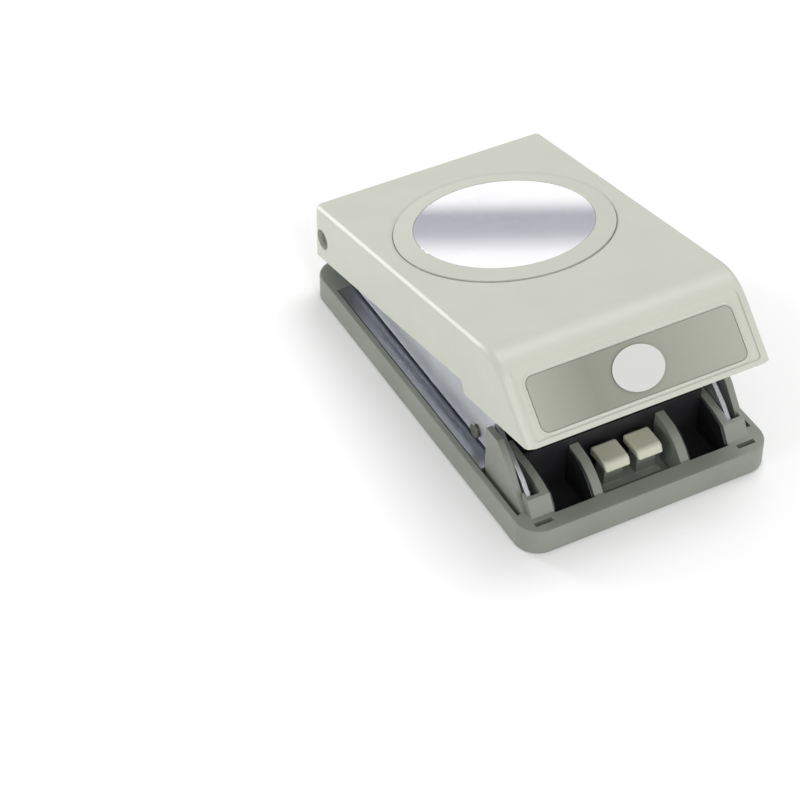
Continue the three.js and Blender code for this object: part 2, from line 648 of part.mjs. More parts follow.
function indicatorDisc() {
  const top = RING_TOP - DISC.sunk;
  return part('indicator_disc', rod(0, RING.y, top - DISC.thickness, top, DISC.radius, 48), mirrorFoil);
}

function labelPanel() {
  const inset = 0.3;
  const half = [LABEL.width / 2 - inset, LABEL.height / 2 - inset];
  const shape = roundedRect(-half[0], half[0], -half[1], half[1], 2.7);
  return part('label_panel', onFace(shape, 0.25, LABEL.up, inset - LABEL.depth), labelPlastic);
}

function labelDot() {
  const shape = new THREE.Shape();
  shape.absellipse(0, 0, 9.4, 7.5, 0, 2 * Math.PI);
  return part('label_dot', onFace(shape, 0.3, LABEL.up, 0.85 - LABEL.depth), dotPlastic);
}

function hingeShaft() {
  return part('hinge_shaft', crossRod(-SHAFT_HALF, SHAFT_HALF, 0, 0, SHAFT_RADIUS), darkSteel);
}

// A ring on the hinge shaft between two places along X.
function hingeTube(name, x0, x1, radius, material) {
  const tube = crossRod(x0, x1, 0, 0, radius);
  return part(name, cut(tube, crossRod(-THROUGH, THROUGH, 0, 0, EYE_HOLE + 0.2)), material);
}

// ---------- assembly ----------

const punch = new THREE.Group();

const base = new THREE.Group();
base.add(
  baseTray(), diePlate(), throatSpacer(), guidePlate(), punchHousing(), frontLiner(), lockRetainer());
for (const [sideName, side] of [['left', -1], ['right', 1]]) {
  base.add(sideArm(`${sideName}_arm`, side), armPin(`arm_pin_${sideName}`, side));
  RIVET_DISTANCES.forEach((distance, index) =>
    base.add(frameRivet(`frame_rivet_${sideName}_${index + 1}`, side, distance)));
  base.add(screw(`die_screw_${sideName}`, side * DIE_SCREW.x, back(DIE_SCREW.distance),
    DIE.top - 1.15, SCREW_DIE));
  base.add(screw(`retainer_screw_${sideName}`, side * RETAINER_SCREW.x, back(RETAINER_SCREW.distance),
    6.25, SCREW_SMALL));
}
FRAME_SCREW_X.forEach((x, index) =>
  base.add(screw(`frame_screw_${index + 1}`, x, back(SCREW_ROW), GUIDE.top + 0.05, SCREW_M3)));
springPlaces.forEach(([x, y], index) => base.add(returnSpring(`return_spring_${index + 1}`, x, y)));

const lock = new THREE.Group();
lock.add(lockSlider(), lockHook('lock_hook_left', -1), lockHook('lock_hook_right', 1));

const ram = new THREE.Group();
ram.add(punchCutter(), ramPlate(), ramPad());
ramScrewPlaces.forEach(([x, y], index) =>
  ram.add(screw(`ram_screw_${index + 1}`, x, y, RAM.plateTop + 0.05, SCREW_RAM)));

const lever = new THREE.Group();
lever.position.set(0, PIVOT.y, PIVOT.z);
lever.rotation.x = -THREE.MathUtils.degToRad(OPEN_TILT);
lever.add(coverShell(), indicatorRing(), indicatorDisc(), labelPanel(), labelDot(), hingeShaft());
lever.add(
  hingeTube('hinge_washer_left', -BOSS.face + 0.3, ARM_SPAN.left[0] - 0.3, EYE_RADIUS, nylon),
  hingeTube('hinge_washer_right', ARM_SPAN.right[1] + 0.3, BOSS.face - 0.3, EYE_RADIUS, nylon),
  hingeTube('shaft_clip_left', ARM_SPAN.left[1] + 0.3, ARM_SPAN.left[1] + 1.1, 4, darkSteel),
  hingeTube('shaft_clip_right', ARM_SPAN.right[0] - 1.1, ARM_SPAN.right[0] - 0.3, 4, darkSteel));

punch.add(base, lock, ram, lever);

export default punch;
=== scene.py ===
import json
from math import cos, pi, radians, sin

import bmesh
import bpy
from mathutils import Matrix, Vector


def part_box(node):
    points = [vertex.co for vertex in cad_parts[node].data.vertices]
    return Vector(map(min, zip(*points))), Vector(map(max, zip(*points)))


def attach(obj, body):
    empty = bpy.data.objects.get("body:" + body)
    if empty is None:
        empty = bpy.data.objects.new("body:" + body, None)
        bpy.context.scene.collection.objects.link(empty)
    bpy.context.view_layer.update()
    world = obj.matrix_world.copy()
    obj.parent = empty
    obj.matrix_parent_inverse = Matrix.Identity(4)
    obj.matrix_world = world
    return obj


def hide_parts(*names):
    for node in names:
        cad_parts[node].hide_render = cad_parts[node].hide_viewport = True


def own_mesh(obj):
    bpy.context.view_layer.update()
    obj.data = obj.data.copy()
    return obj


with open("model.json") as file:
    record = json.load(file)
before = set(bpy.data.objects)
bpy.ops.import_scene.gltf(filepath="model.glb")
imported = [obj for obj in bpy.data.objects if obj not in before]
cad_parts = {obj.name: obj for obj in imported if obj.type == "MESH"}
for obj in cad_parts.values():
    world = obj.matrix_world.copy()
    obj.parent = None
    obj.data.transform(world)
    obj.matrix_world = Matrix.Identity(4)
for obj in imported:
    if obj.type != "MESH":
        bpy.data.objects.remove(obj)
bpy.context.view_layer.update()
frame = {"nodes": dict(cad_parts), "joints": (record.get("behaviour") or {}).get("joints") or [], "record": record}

# ---------- driving dimensions, in metres ----------

MM = 0.001
NODES = frame["nodes"]
JOINTS = {joint["name"]: joint for joint in frame["joints"]}
PIVOT = Vector(JOINTS["lever_hinge"]["pos_m"])
OPEN_TILT = radians(12)

COVER_HALF = 45.5 * MM
COVER_TOP = 12.73 * MM
COVER_WALL = 2.4 * MM
SIDE_WALL = 2 * MM
COVER_FRONT = -143 * MM
COVER_FOOT = -13.1 * MM
COVER_STEP = -101 * MM
CROWN = 10 * MM
TOP_ROUND = 2.4 * MM
CORNER_ROUND = 2.2 * MM
FACE_ANGLE = radians(55.3)
RING_Y = -51.4 * MM
RING_RADIUS = 38 * MM
RING_RISE = 0.9 * MM
DISC_RADIUS = 31 * MM
DISC_SUNK = 0.15 * MM
DISC_THICKNESS = 0.3 * MM
RING_POCKET = 1.4 * MM
RING_DISH = 1.5 * MM
RING_DISH_DEPTH = 0.62 * MM
LABEL_SIZE = (77 * MM, 19 * MM)
LABEL_UP = 12.9 * MM
LABEL_DEPTH = 1.05 * MM
FACE_RECESS = {"half": 42.2 * MM, "low": 1.9 * MM, "high": 26 * MM, "depth": 0.45 * MM}
FACE_BEVEL_START = 42.6 * MM
FACE_BEVEL = (4 * MM, 1.25 * MM)
BADGE_HALF = (9.4 * MM, 7.5 * MM)
THROUGH = 60 * MM
BOSS_FACE = 41.4 * MM
BOSS_RADIUS = 4.4 * MM
SHAFT_BORE = 2.6 * MM
SHAFT_RECESS = {"start": 43.7 * MM, "radius": 3.85 * MM}
PRESSER = {"half": 26 * MM, "z": 3 * MM, "reach": 4 * MM}
CROSS_RIBS = {"front": -96 * MM, "rear": -10.5 * MM, "half_wall": 0.9 * MM, "low": 6.5 * MM}
LONG_RIB = (19 * MM, 20.8 * MM)
LEDGE_HALF = 13 * MM
SPRING_WIRE = 0.45 * MM
SPRING_TURNS = 6

CAMERA_AZIMUTH = radians(-28.04)
CAMERA_ELEVATION = radians(42.51)
CAMERA_DISTANCE = 0.8447
CAMERA_TARGET = Vector((-0.0604, -0.0154, 0.0260))
CAMERA_LENS = 116.155

COVER_SPACE = Matrix.Translation(PIVOT) @ Matrix.Rotation(-OPEN_TILT, 4, "X")


# ---------- node materials ----------

def blank_material(name):
    material = bpy.data.materials.new(name)
    material.use_nodes = True
    tree = material.node_tree
    shader = next(node for node in tree.nodes if node.type == "BSDF_PRINCIPLED")
    return material, tree, shader


def add(tree, kind, **inputs):
    node = tree.nodes.new(kind)
    for key, value in inputs.items():
        node.inputs[key.replace("_", " ")].default_value = value
    return node


def object_coords(tree, scale=(1, 1, 1)):
    coords = tree.nodes.new("ShaderNodeTexCoord")
    mapping = tree.nodes.new("ShaderNodeMapping")
    mapping.inputs["Scale"].default_value = scale
    tree.links.new(coords.outputs["Object"], mapping.inputs["Vector"])
    return mapping.outputs["Vector"]


def noise(tree, vector, scale, detail=3, roughness=0.5):
    node = add(tree, "ShaderNodeTexNoise", Scale=scale, Detail=detail, Roughness=roughness)
    tree.links.new(vector, node.inputs["Vector"])
    return node.outputs["Fac"]


def ramp(tree, factor, stops):
    node = tree.nodes.new("ShaderNodeValToRGB")
    elements = node.color_ramp.elements
    while len(elements) < len(stops):
        elements.new(0.5)
    for element, (place, colour) in zip(elements, stops):
        element.position = place
        element.color = (*colour, 1)
    tree.links.new(factor, node.inputs["Fac"])
    return node.outputs["Color"]


def shade(colour, gain):
    return tuple(min(1, channel * gain) for channel in colour)


def bump(tree, shader, height, strength, distance):
    node = add(tree, "ShaderNodeBump", Strength=strength, Distance=distance)
    tree.links.new(height, node.inputs["Height"])
    tree.links.new(node.outputs["Normal"], shader.inputs["Normal"])


def roughness_from(tree, shader, factor, low, high):
    spread = tree.nodes.new("ShaderNodeMapRange")
    spread.inputs["To Min"].default_value = low
    spread.inputs["To Max"].default_value = high
    tree.links.new(factor, spread.inputs["Value"])
    tree.links.new(spread.outputs["Result"], shader.inputs["Roughness"])


def moulded_plastic(name, colour, rough=(0.38, 0.5), grain=0.12, mottle=0.05, gloss=0.5):
    """Satin moulded plastic: a fine spark-eroded grain, faint colour drift and an uneven sheen."""
    material, tree, shader = blank_material(name)
    vector = object_coords(tree)
    drift = noise(tree, vector, 55, detail=4)
    base = ramp(tree, drift, [(0.3, shade(colour, 1 - mottle)), (0.7, shade(colour, 1 + mottle))])
    tree.links.new(base, shader.inputs["Base Color"])
    fine = noise(tree, vector, 2600, detail=2, roughness=0.6)
    roughness_from(tree, shader, noise(tree, vector, 240, detail=5), *rough)
    bump(tree, shader, fine, grain, 0.00004)
    shader.inputs["Specular IOR Level"].default_value = gloss
    return material


def steel(name, colour, rough=(0.2, 0.3), along=(1, 14, 14), scratch=0.05):
    """Rolled or ground steel: fine lines along one axis, and a slightly uneven polish."""
    material, tree, shader = blank_material(name)
    lines = noise(tree, object_coords(tree, along), 40, detail=4, roughness=0.5)
    clouds = noise(tree, object_coords(tree), 90, detail=3)
    base = ramp(tree, clouds, [(0.3, shade(colour, 0.92)), (0.7, shade(colour, 1.05))])
    tree.links.new(base, shader.inputs["Base Color"])
    roughness_from(tree, shader, lines, *rough)
    bump(tree, shader, lines, scratch, 0.00002)
    shader.inputs["Metallic"].default_value = 1
    return material


def mirror_foil():
    material, tree, shader = blank_material("mirror_foil")
    vector = object_coords(tree)
    tint = ramp(tree, noise(tree, vector, 30), [(0.3, (0.93, 0.93, 0.95)), (0.7, (0.97, 0.97, 0.98))])
    tree.links.new(tint, shader.inputs["Base Color"])
    roughness_from(tree, shader, noise(tree, vector, 400, detail=4), 0.02, 0.05)
    shader.inputs["Metallic"].default_value = 1
    return material


def label_panel_material():
    """The sage panel with a soft sheen; its base colour carries painted shading, darker towards the middle and
    paler at its ends.
    """
    material, tree, shader = blank_material("label_panel")
    vector = object_coords(tree)
    split = tree.nodes.new("ShaderNodeSeparateXYZ")
    tree.links.new(vector, split.inputs["Vector"])
    across = tree.nodes.new("ShaderNodeMapRange")
    across.inputs["From Min"].default_value = -LABEL_SIZE[0] / 2
    across.inputs["From Max"].default_value = LABEL_SIZE[0] / 2
    tree.links.new(split.outputs["X"], across.inputs["Value"])
    # painted shading: the flat panel's colour darkens towards the middle and pales at its ends
    base = ramp(tree, across.outputs["Result"], [
        (0.0, (0.33, 0.34, 0.285)), (0.28, (0.22, 0.23, 0.185)), (0.7, (0.285, 0.298, 0.243)),
        (1.0, (0.345, 0.355, 0.3))])
    tree.links.new(base, shader.inputs["Base Color"])
    roughness_from(tree, shader, noise(tree, vector, 300, detail=4), 0.3, 0.42)
    bump(tree, shader, noise(tree, vector, 1800, detail=2), 0.05, 0.00003)
    return material


COVER_COLOUR = (0.49, 0.50, 0.435)
BASE_COLOUR = (0.21, 0.226, 0.195)

MATERIALS = {
    "cover_plastic": moulded_plastic("cover_plastic", COVER_COLOUR, (0.32, 0.42), mottle=0.02),
    "base_plastic": moulded_plastic("base_plastic", BASE_COLOUR, (0.42, 0.56), grain=0.2, mottle=0.07),
    # black_plastic: near-black; on the front liner it paints the deep shade inside the base's pockets
    "black_plastic": moulded_plastic("black_plastic", (0.012, 0.012, 0.014), (0.35, 0.5)),
    "label_plastic": label_panel_material(),
    "badge_plastic": moulded_plastic("badge_plastic", (0.55, 0.555, 0.535), (0.35, 0.45), 0.05, 0.01),
    "hook_plastic": moulded_plastic("hook_plastic", (0.50, 0.505, 0.40), (0.35, 0.5), mottle=0.1),
    "mirror_foil": mirror_foil(),
    "bright_steel": steel("bright_steel", (0.60, 0.62, 0.66), (0.26, 0.34), (1, 5, 5), 0.02),
    "dark_steel": steel("dark_steel", (0.17, 0.175, 0.135), (0.3, 0.5)),
    "nylon": moulded_plastic("nylon", (0.70, 0.69, 0.62), (0.4, 0.55), 0.1, 0.05),
}
SLOT_OF = {row["node"]: row["material_slot"] for row in frame["record"]["subparts"]}


# ---------- mesh helpers ----------

def mesh_object(name, bm, matrix=None):
    if matrix is not None:
        bmesh.ops.transform(bm, matrix=matrix, verts=bm.verts)
    bmesh.ops.recalc_face_normals(bm, faces=bm.faces)
    mesh = bpy.data.meshes.new(name)
    bm.to_mesh(mesh)
    bm.free()
    thing = bpy.data.objects.new(name, mesh)
    bpy.context.scene.collection.objects.link(thing)
    return thing


def prism(profile, x0, x1):
    """A closed solid whose side outline is a list of (y, z) points."""
    bm = bmesh.new()
    left = [bm.verts.new((x0, y, z)) for y, z in profile]
    right = [bm.verts.new((x1, y, z)) for y, z in profile]
    bm.faces.new(left)
    bm.faces.new(reversed(right))
    count = len(profile)
    for i in range(count):
        j = (i + 1) % count
        bm.faces.new((left[j], left[i], right[i], right[j]))
    return bm


def plate(outline, z0, z1):
    """A closed solid whose plan outline is a list of (x, y) points."""
    bm = bmesh.new()
    low = [bm.verts.new((x, y, z0)) for x, y in outline]
    high = [bm.verts.new((x, y, z1)) for x, y in outline]
    bm.faces.new(reversed(low))
    bm.faces.new(high)
    count = len(outline)
    for i in range(count):
        j = (i + 1) % count
        bm.faces.new((low[i], low[j], high[j], high[i]))
    return bm


def rounded_rect(width, height, radius, steps=8):
    points = []
    for cx, cy, start in ((1, -1, -90), (1, 1, 0), (-1, 1, 90), (-1, -1, 180)):
        for i in range(steps + 1):
            angle = radians(start + 90 * i / steps)
            x = cx * (width / 2 - radius) + radius * cos(angle)
            y = cy * (height / 2 - radius) + radius * sin(angle)
            points.append((x, y))
    return points


def lathe(profile, segments=96):
    """A solid of revolution about Z. The (r, z) profile starts and ends on the axis, or closes."""
    bm = bmesh.new()
    rings = []
    for r, z in profile:
        if r < 1e-9:
            rings.append([bm.verts.new((0, 0, z))])
        else:
            rings.append([bm.verts.new((r * cos(2 * pi * i / segments), r * sin(2 * pi * i / segments), z))
                          for i in range(segments)])
    pairs = list(zip(rings, rings[1:]))
    if len(rings[0]) > 1:
        pairs.append((rings[-1], rings[0]))
    for a, b in pairs:
        for i in range(segments):
            j = (i + 1) % segments
            corners = [a[i % len(a)], a[j % len(a)], b[j % len(b)], b[i % len(b)]]
            unique = list(dict.fromkeys(corners))
            if len(unique) > 2:
                bm.faces.new(unique)
    return bm


def sharp_edges(bm, angle):
    limit = radians(angle)
    return [edge for edge in bm.edges if len(edge.link_faces) == 2 and edge.calc_face_angle(0) > limit]


def soften(bm, width, segments=3, angle=35, edges=None):
    """Rounds the sharp edges with real geometry."""
    chosen = sharp_edges(bm, angle) if edges is None else edges
    bmesh.ops.bevel(bm, geom=chosen, offset=width, segments=segments, profile=0.5,
                    affect="EDGES", clamp_overlap=True)
    return bm


def clean(bm, angle=0.4):
    bmesh.ops.remove_doubles(bm, verts=bm.verts, dist=2e-6)
    bmesh.ops.dissolve_limit(bm, angle_limit=radians(angle), verts=bm.verts, edges=bm.edges)
    return bm


def boolean(target, cutter_bm, operation, matrix=None):
    """Cuts or joins a solid into target and removes the tool."""
    tool = mesh_object("tool", cutter_bm, matrix)
    modifier = target.modifiers.new("boolean", "BOOLEAN")
    modifier.operation = operation
    modifier.solver = "EXACT"
    modifier.object = tool
    graph = bpy.context.evaluated_depsgraph_get()
    result = bpy.data.meshes.new_from_object(target.evaluated_get(graph))
    target.modifiers.clear()
    target.data = result
    bpy.data.objects.remove(tool)
    return target


LARGE_FACE = 4e-5


def smooth(thing, angle=35):
    """Smooth shading that keeps hard edges hard and large flats exactly flat."""
    mesh = thing.data
    mesh.shade_smooth()
    limit = cos(radians(angle))
    bm = bmesh.new()
    bm.from_mesh(mesh)
    area = {face: face.calc_area() for face in bm.faces}
    normals = []
    for face in bm.faces:
        for loop in face.loops:
            near = [other for other in loop.vert.link_faces if other.normal.dot(face.normal) > limit]
            near = near or [face]
            largest = max(near, key=area.get)
            if area[largest] > LARGE_FACE:
                normals.append(largest.normal.copy())
            else:
                total = Vector()
                for other in near:
                    total += other.normal * area[other]
                normals.append(total.normalized() if total.length > 0 else face.normal.copy())
    bm.free()
    mesh.normals_split_custom_set(normals)
    return thing


def finish_piece(thing, body, slot, *nodes):
    thing.data.materials.clear()
    thing.data.materials.append(MATERIALS[slot])
    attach(thing, body)
    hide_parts(*nodes)
    return thing


BODY_OF = {node: body for body, nodes in frame["record"]["behaviour"]["bodies"].items() for node in nodes}


def stand_in(thing, node):
    return finish_piece(thing, BODY_OF[node], SLOT_OF[node], node)


def refined(node, width, segments=2, angle=35):
    """The CAD solid with merged flats and truly rounded edges."""
    bm = bmesh.new()
    bm.from_mesh(NODES[node].data)
    clean(bm)
    soften(bm, width, segments, angle)
    thing = mesh_object(node + "_finished", bm)
    return stand_in(smooth(thing), node)


# ---------- cover ----------

def arc_between(start, corner, end, steps):
    """Points of a quadratic curve that rounds a corner."""
    points = []
    for i in range(steps + 1):
        t = i / steps
        points.append(tuple((1 - t) ** 2 * s + 2 * t * (1 - t) * c + t * t * e
                            for s, c, e in zip(start, corner, end)))
    return points


def cover_profile(inset):
    """Side outline of the cover block; the lower end runs past the rim, which is cut off later."""
    top = COVER_TOP - inset
    rear = min(inset, 1.8 * MM)
    run = inset / sin(FACE_ANGLE)
    slope = cos(FACE_ANGLE) / sin(FACE_ANGLE)
    low = -18 * MM
    foot = COVER_FRONT + run + (low - COVER_FOOT) * slope
    joint = foot + (top - low) * slope
    crown = CROWN - inset
    start = (joint - crown * cos(FACE_ANGLE), top - crown * sin(FACE_ANGLE))
    points = [(foot, low)]
    points += arc_between(start, (joint, top), (joint + crown, top), 14)
    points += [(3.5 * MM - rear, top), (8.5 * MM - rear, -8.64 * MM), (9.6 * MM - rear, low)]
    return points


def cover_block(inset, side_inset, round_width, corner_round, rear_round, segments):
    """The cover as a solid block: its long top edges are rounder than its front corners."""
    half = COVER_HALF - side_inset
    bm = prism(cover_profile(inset), -half, half)
    weights = bm.edges.layers.float.new("bevel_weight_edge")
    low = -17.9 * MM
    long_edges = []
    rear_edges = []
    for edge in bm.edges:
        a, b = (vertex.co for vertex in edge.verts)
        if max(a.z, b.z) < low:
            continue
        if abs(a.x - b.x) < 1e-6:
            long_edges.append(edge)
        elif min(a.y, b.y) > 0 and min(a.z, b.z) > 5 * MM:
            rear_edges.append(edge)
    for edge in long_edges:
        a, b = (vertex.co for vertex in edge.verts)
        on_face = min(a.y, b.y) < -100 * MM and min(a.z, b.z) < 4 * MM
        edge[weights] = corner_round / round_width if on_face else 1
    for edge in rear_edges:
        edge[weights] = rear_round / round_width
    thing = mesh_object("cover_block", bm)
    modifier = thing.modifiers.new("round", "BEVEL")
    modifier.limit_method = "WEIGHT"
    modifier.width = round_width
    modifier.segments = segments
    modifier.use_clamp_overlap = False
    graph = bpy.context.evaluated_depsgraph_get()
    thing.data = bpy.data.meshes.new_from_object(thing.evaluated_get(graph))
    thing.modifiers.clear()
    return thing


def bm_of(thing):
    bm = bmesh.new()
    bm.from_mesh(thing.data)
    return bm


def face_matrix(up, proud):
    """Places a flat piece, drawn in XY, on the sloping front face."""
    y = COVER_FRONT + up * cos(FACE_ANGLE) - proud * sin(FACE_ANGLE)
    z = COVER_FOOT + up * sin(FACE_ANGLE) + proud * cos(FACE_ANGLE)
    return Matrix.Translation((0, y, z)) @ Matrix.Rotation(FACE_ANGLE, 4, "X")


def rod_x(x0, x1, y, z, radius, count=48):
    return prism([(y + radius * cos(2 * pi * i / count), z + radius * sin(2 * pi * i / count))
                  for i in range(count)], x0, x1)


def box_bm(x0, x1, y0, y1, z0, z1):
    return prism([(y0, z0), (y1, z0), (y1, z1), (y0, z1)], x0, x1)


def face_edge_tool(section):
    """A long prism that runs up the sloping face; the section is a list of (x, height) points."""
    bm = bmesh.new()
    low = [bm.verts.new((x, -20 * MM, z)) for x, z in section]
    high = [bm.verts.new((x, 60 * MM, z)) for x, z in section]
    bm.faces.new(low)
    bm.faces.new(reversed(high))
    count = len(section)
    for i in range(count):
        j = (i + 1) % count
        bm.faces.new((low[j], low[i], high[i], high[j]))
    return bm


def label_bead():
    """A low half-round bead round the label recess."""
    inner = rounded_rect(LABEL_SIZE[0] + 0.5 * MM, LABEL_SIZE[1] + 0.5 * MM, 3.2 * MM, 10)
    outer = rounded_rect(LABEL_SIZE[0] + 2.3 * MM, LABEL_SIZE[1] + 2.3 * MM, 4.1 * MM, 10)
    steps = 6
    bm = bmesh.new()
    rows = []
    for k in range(steps + 1):
        t = k / steps
        height = 0.28 * MM * sin(pi * t) - 0.02 * MM
        rows.append([bm.verts.new((a[0] * (1 - t) + b[0] * t, a[1] * (1 - t) + b[1] * t, height))
                     for a, b in zip(inner, outer)])
    rows.append([bm.verts.new((v.co.x, v.co.y, -0.4 * MM)) for v in rows[-1]])
    rows.append([bm.verts.new((v.co.x, v.co.y, -0.4 * MM)) for v in rows[0]])
    count = len(inner)
    for a, b in zip(rows, rows[1:] + rows[:1]):
        for i in range(count):
            j = (i + 1) % count
            bm.faces.new((a[i], a[j], b[j], b[i]))
    bmesh.ops.recalc_face_normals(bm, faces=bm.faces)
    return bm


def make_cover():
    outer = cover_block(0, 0, TOP_ROUND, CORNER_ROUND, 1.4 * MM, 5)
    inner = cover_block(COVER_WALL, SIDE_WALL, 0.8 * MM, 0.8 * MM, 0.8 * MM, 3)
    boolean(outer, bm_of(inner), "DIFFERENCE")
    bpy.data.objects.remove(inner)
    low = -40 * MM
    under = prism([(-170 * MM, COVER_FOOT), (COVER_STEP - 0.8 * MM, -12.6 * MM),
                   (COVER_STEP - 0.3 * MM, -12.2 * MM),
                   (COVER_STEP + 0.4 * MM, -8.3 * MM), (COVER_STEP + 0.9 * MM, -7.85 * MM),
                   (12 * MM, -8.7 * MM), (12 * MM, low), (-170 * MM, low)], -THROUGH, THROUGH)
    boolean(outer, under, "DIFFERENCE")

    pocket = RING_RADIUS + 0.26 * MM
    rim = COVER_TOP - RING_DISH_DEPTH
    dish = [(0, COVER_TOP - RING_POCKET), (pocket, COVER_TOP - RING_POCKET), (pocket, rim),
            (pocket + 3 * RING_DISH, rim + 3 * RING_DISH_DEPTH), (0, rim + 3 * RING_DISH_DEPTH)]
    boolean(outer, lathe(dish, 160), "DIFFERENCE", Matrix.Translation((0, RING_Y, 0)))
    low_edge, high_edge = FACE_RECESS["low"], FACE_RECESS["high"]
    recess = plate(rounded_rect(2 * FACE_RECESS["half"], high_edge - low_edge, 1.5 * MM, 8), 0, 5 * MM)
    boolean(outer, recess, "DIFFERENCE", face_matrix((low_edge + high_edge) / 2, -FACE_RECESS["depth"]))
    for side in (-1, 1):
        bevel = [(0, 0), (FACE_BEVEL[0], -FACE_BEVEL[1]), (FACE_BEVEL[0], 3 * MM), (0, 3 * MM)]
        tool = face_edge_tool([(side * (FACE_BEVEL_START + x), proud) for x, proud in bevel])
        boolean(outer, tool, "DIFFERENCE", face_matrix(0, 0))
    label = plate(rounded_rect(*LABEL_SIZE, 3 * MM, 10), 0, 5 * MM)
    boolean(outer, label, "DIFFERENCE", face_matrix(LABEL_UP, -LABEL_DEPTH))
    half = COVER_HALF - SIDE_WALL + 0.5 * MM
    for x0, x1 in ((-half, -BOSS_FACE), (BOSS_FACE, half)):
        boolean(outer, rod_x(x0, x1, 0, 0, BOSS_RADIUS), "UNION")
    boolean(outer, rod_x(-THROUGH, THROUGH, 0, 0, SHAFT_BORE), "DIFFERENCE")
    recess_start = SHAFT_RECESS["start"]
    for x0, x1 in ((-THROUGH, -recess_start), (recess_start, THROUGH)):
        boolean(outer, rod_x(x0, x1, 0, 0, SHAFT_RECESS["radius"]), "DIFFERENCE")

    rib_top = COVER_TOP - COVER_WALL + 0.5 * MM
    press, press_z, reach = PRESSER["half"], PRESSER["z"], PRESSER["reach"]
    boolean(outer, box_bm(-press, press, RING_Y - reach, RING_Y + reach, press_z, rib_top), "UNION")
    boolean(outer, rod_x(-press, press, RING_Y, press_z, reach), "UNION")
    front, rear, rib_low = CROSS_RIBS["front"], CROSS_RIBS["rear"], CROSS_RIBS["low"]
    for y in (front, rear):
        y0, y1 = y - CROSS_RIBS["half_wall"], y + CROSS_RIBS["half_wall"]
        boolean(outer, box_bm(-half, half, y0, y1, rib_low, rib_top), "UNION")
    for x0, x1 in ((-LONG_RIB[1], -LONG_RIB[0]), LONG_RIB):
        boolean(outer, box_bm(x0, x1, front, rear, rib_low, rib_top), "UNION")
    ledge = prism([(-140.2 * MM, -11 * MM), (-140.2 * MM, -14.3 * MM), (-136.9 * MM, -14.3 * MM),
                   (-136.6 * MM, -13.7 * MM), (-137.2 * MM, -12.8 * MM), (-138.6 * MM, -12.6 * MM),
                   (-138.2 * MM, -11 * MM)], -LEDGE_HALF, LEDGE_HALF)
    boolean(outer, ledge, "UNION")

    bm = bm_of(outer)
    bpy.data.objects.remove(outer)
    clean(bm, 0.2)
    soften(bm, 0.45 * MM, 3, 40)
    cover = mesh_object("cover_shell_moulding", bm)
    boolean(cover, label_bead(), "UNION", face_matrix(LABEL_UP, -FACE_RECESS["depth"]))
    cover.data.transform(COVER_SPACE)
    return stand_in(smooth(cover, 30), "cover_shell")


def make_ring_insert():
    """The round insert: it rises gently from a rounded outer edge to the seat of the mirror."""
    top = COVER_TOP + RING_RISE
    shoulder = COVER_TOP - 0.05 * MM
    bottom = COVER_TOP - 1.1 * MM
    seat = DISC_RADIUS + 0.15 * MM
    edge = 0.25 * MM
    profile = [(0, bottom), (RING_RADIUS, bottom), (RING_RADIUS, shoulder - edge),
               (RING_RADIUS - 0.3 * edge, shoulder - 0.3 * edge), (RING_RADIUS - edge, shoulder + 0.03 * MM)]
    lip = 0.12 * MM
    floor = top - DISC_SUNK - 0.38 * MM
    profile += [(seat + 0.5 * MM, top - 0.02 * MM), (seat + lip, top), (seat, top - lip),
                (seat, floor), (0, floor)]
    bm = lathe(profile, 160)
    ring = mesh_object("indicator_ring_insert", bm, COVER_SPACE @ Matrix.Translation((0, RING_Y, 0)))
    return stand_in(smooth(ring), "indicator_ring")


def make_mirror():
    top = COVER_TOP + RING_RISE - DISC_SUNK
    bottom = top - DISC_THICKNESS
    edge = 0.01 * MM
    profile = [(0, bottom), (DISC_RADIUS, bottom), (DISC_RADIUS, top - edge),
               (DISC_RADIUS - edge, top), (0, top)]
    disc = mesh_object("mirror_disc", lathe(profile, 160), COVER_SPACE @ Matrix.Translation((0, RING_Y, 0)))
    return stand_in(smooth(disc, 20), "indicator_disc")


def make_label():
    width, height = (side - 0.5 * MM for side in LABEL_SIZE)
    panel_bm = soften(plate(rounded_rect(width, height, 2.7 * MM, 10), 0, 0.25 * MM), 0.08 * MM, 2)
    panel_place = COVER_SPACE @ face_matrix(LABEL_UP, 0.3 * MM - LABEL_DEPTH)
    panel = mesh_object("label_panel_sheet", panel_bm, panel_place)
    stand_in(smooth(panel), "label_panel")
    turn = [2 * pi * i / 96 for i in range(96)]
    outline = [(BADGE_HALF[0] * cos(angle), BADGE_HALF[1] * sin(angle)) for angle in turn]
    badge_bm = soften(plate(outline, 0, 0.3 * MM), 0.12 * MM, 3)
    badge = mesh_object("label_badge", badge_bm, COVER_SPACE @ face_matrix(LABEL_UP, 0.85 * MM - LABEL_DEPTH))
    return stand_in(smooth(badge), "label_dot")


# ---------- base and mechanism ----------

def make_hook(side):
    """A cream hook cap with well rounded edges."""
    node = f"lock_hook_{side}"
    bm = bmesh.new()
    bm.from_mesh(NODES[node].data)
    clean(bm, 1)
    soften(bm, 0.7 * MM, 4, 30)
    return stand_in(smooth(mesh_object(node + "_cap", bm), 40), node)


